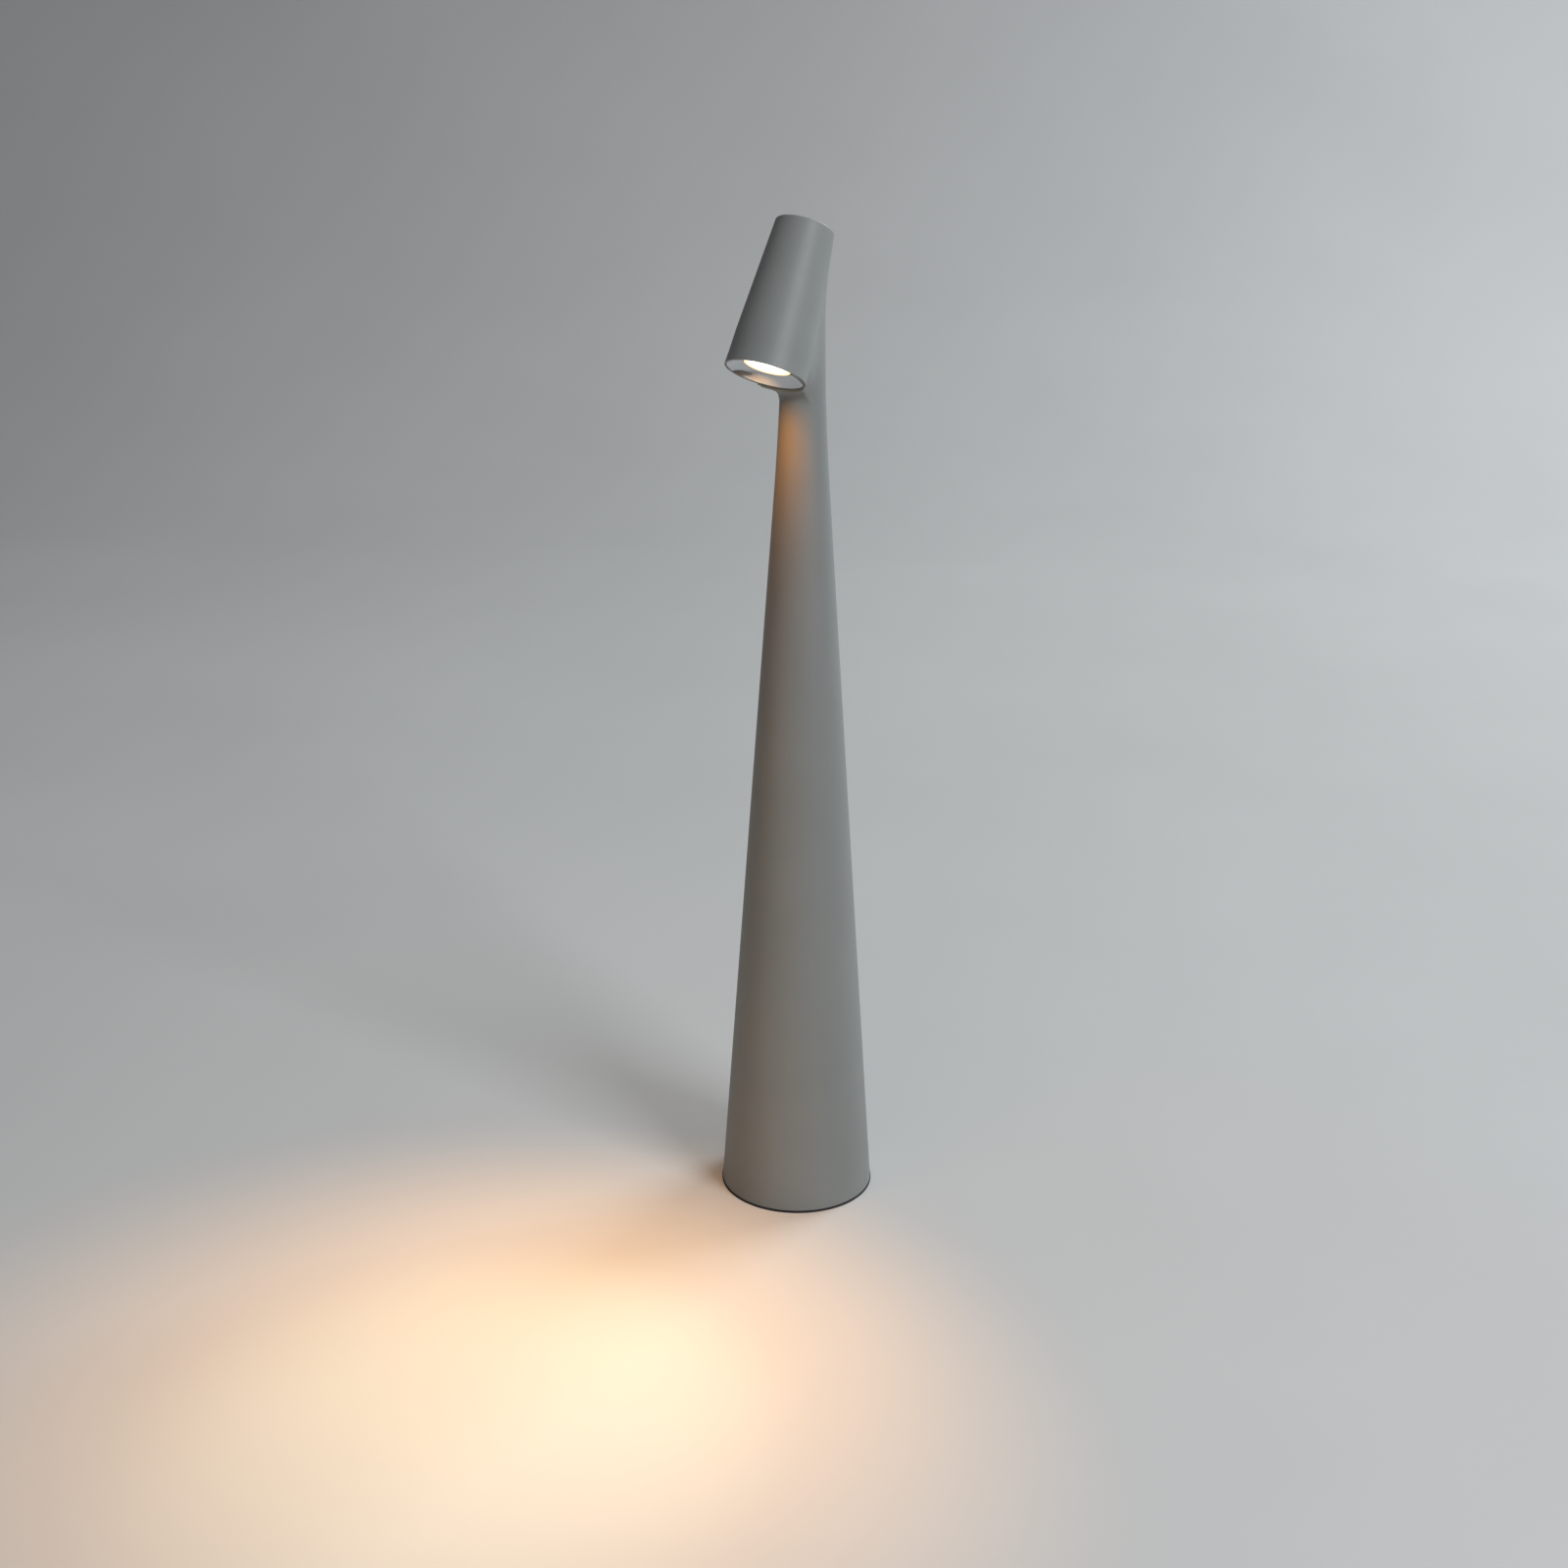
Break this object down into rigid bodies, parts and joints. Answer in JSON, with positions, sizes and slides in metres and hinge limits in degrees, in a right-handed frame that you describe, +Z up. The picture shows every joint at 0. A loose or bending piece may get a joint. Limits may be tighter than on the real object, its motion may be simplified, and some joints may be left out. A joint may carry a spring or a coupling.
{
  "type": "cordless table lamp",
  "caption": "Slender cone-shaped cordless table lamp with a tilted cone head fused to its neck, touch top, battery base and hinged charging flap.",
  "frame": {"origin": "centre of the underside of the foot, on the table", "axes": "+Z up along the body's axis; the head leans towards -Y and the charging port faces +Y; the lamp is symmetric about X = 0"},
  "size_m": [0.092, 0.1033, 0.5797],
  "materials": {
    "shell_paint": "fine satin powder coat",
    "chrome_dish": "bright",
    "lens_plastic": "frosted diffuser",
    "black_rubber": "matt",
    "grey_rubber": "matt, coloured to the body",
    "port_plastic": "fine spark finish",
    "nylon": "natural",
    "black_plastic": "moulded",
    "cup_white": "white reflector",
    "steel": "zinc plated",
    "aluminium": "machined",
    "cast_iron": "cast, blackened",
    "board": "solder mask",
    "chip": "moulded",
    "phosphor": "silicone over phosphor",
    "foam": "foam",
    "lead_black": "insulation",
    "lead_pale": "insulation",
    "cell_wrap": "shrink wrap over a steel can",
    "pipe_clear": "clear, frosted end"
  },
  "bodies": {
    "lamp": {"body_shell": "shell_paint", "touch_cap": "shell_paint", "cap_seal": "black_rubber", "touch_spring": "steel", "touch_board": "board", "touch_chips": "chip", "touch_screws": "steel", "touch_carrier": "nylon", "touch_lead": "lead_pale", "reflector": "chrome_dish", "head_seal": "black_rubber", "lens": "lens_plastic", "light_cup": "cup_white", "led_board": "aluminium", "led_chip": "phosphor", "led_screws": "steel", "heat_sink": "aluminium", "head_plug": "nylon", "led_leads": "lead_black", "head_cable": "lead_black", "cable_collars": "foam", "foot_pad": "black_rubber", "base_plate": "steel", "base_seal": "black_rubber", "base_screws": "steel", "base_ring": "aluminium", "ballast": "cast_iron", "ballast_screws": "steel", "carrier_base": "black_plastic", "carrier_top": "black_plastic", "tie_rods": "steel", "tie_nuts": "steel", "battery_cells": "cell_wrap", "battery_straps": "steel", "main_board": "board", "board_parts": "chip", "cable_socket": "nylon", "charge_lamp": "cup_white", "light_pipe": "pipe_clear", "socket_board": "board", "socket_screws": "steel", "usb_socket": "steel", "usb_tongue": "black_plastic", "port_frame": "port_plastic", "flap_pin": "steel"},
    "flap": {"port_flap": "grey_rubber"}
  },
  "joints": [
    {"name": "flap_hinge", "type": "hinge", "parent": "lamp", "child": "flap", "pos_m": [0, 0.04235, 0.0236], "axis": [-1, 0, 0], "range_deg": [0, 120]}
  ]
}
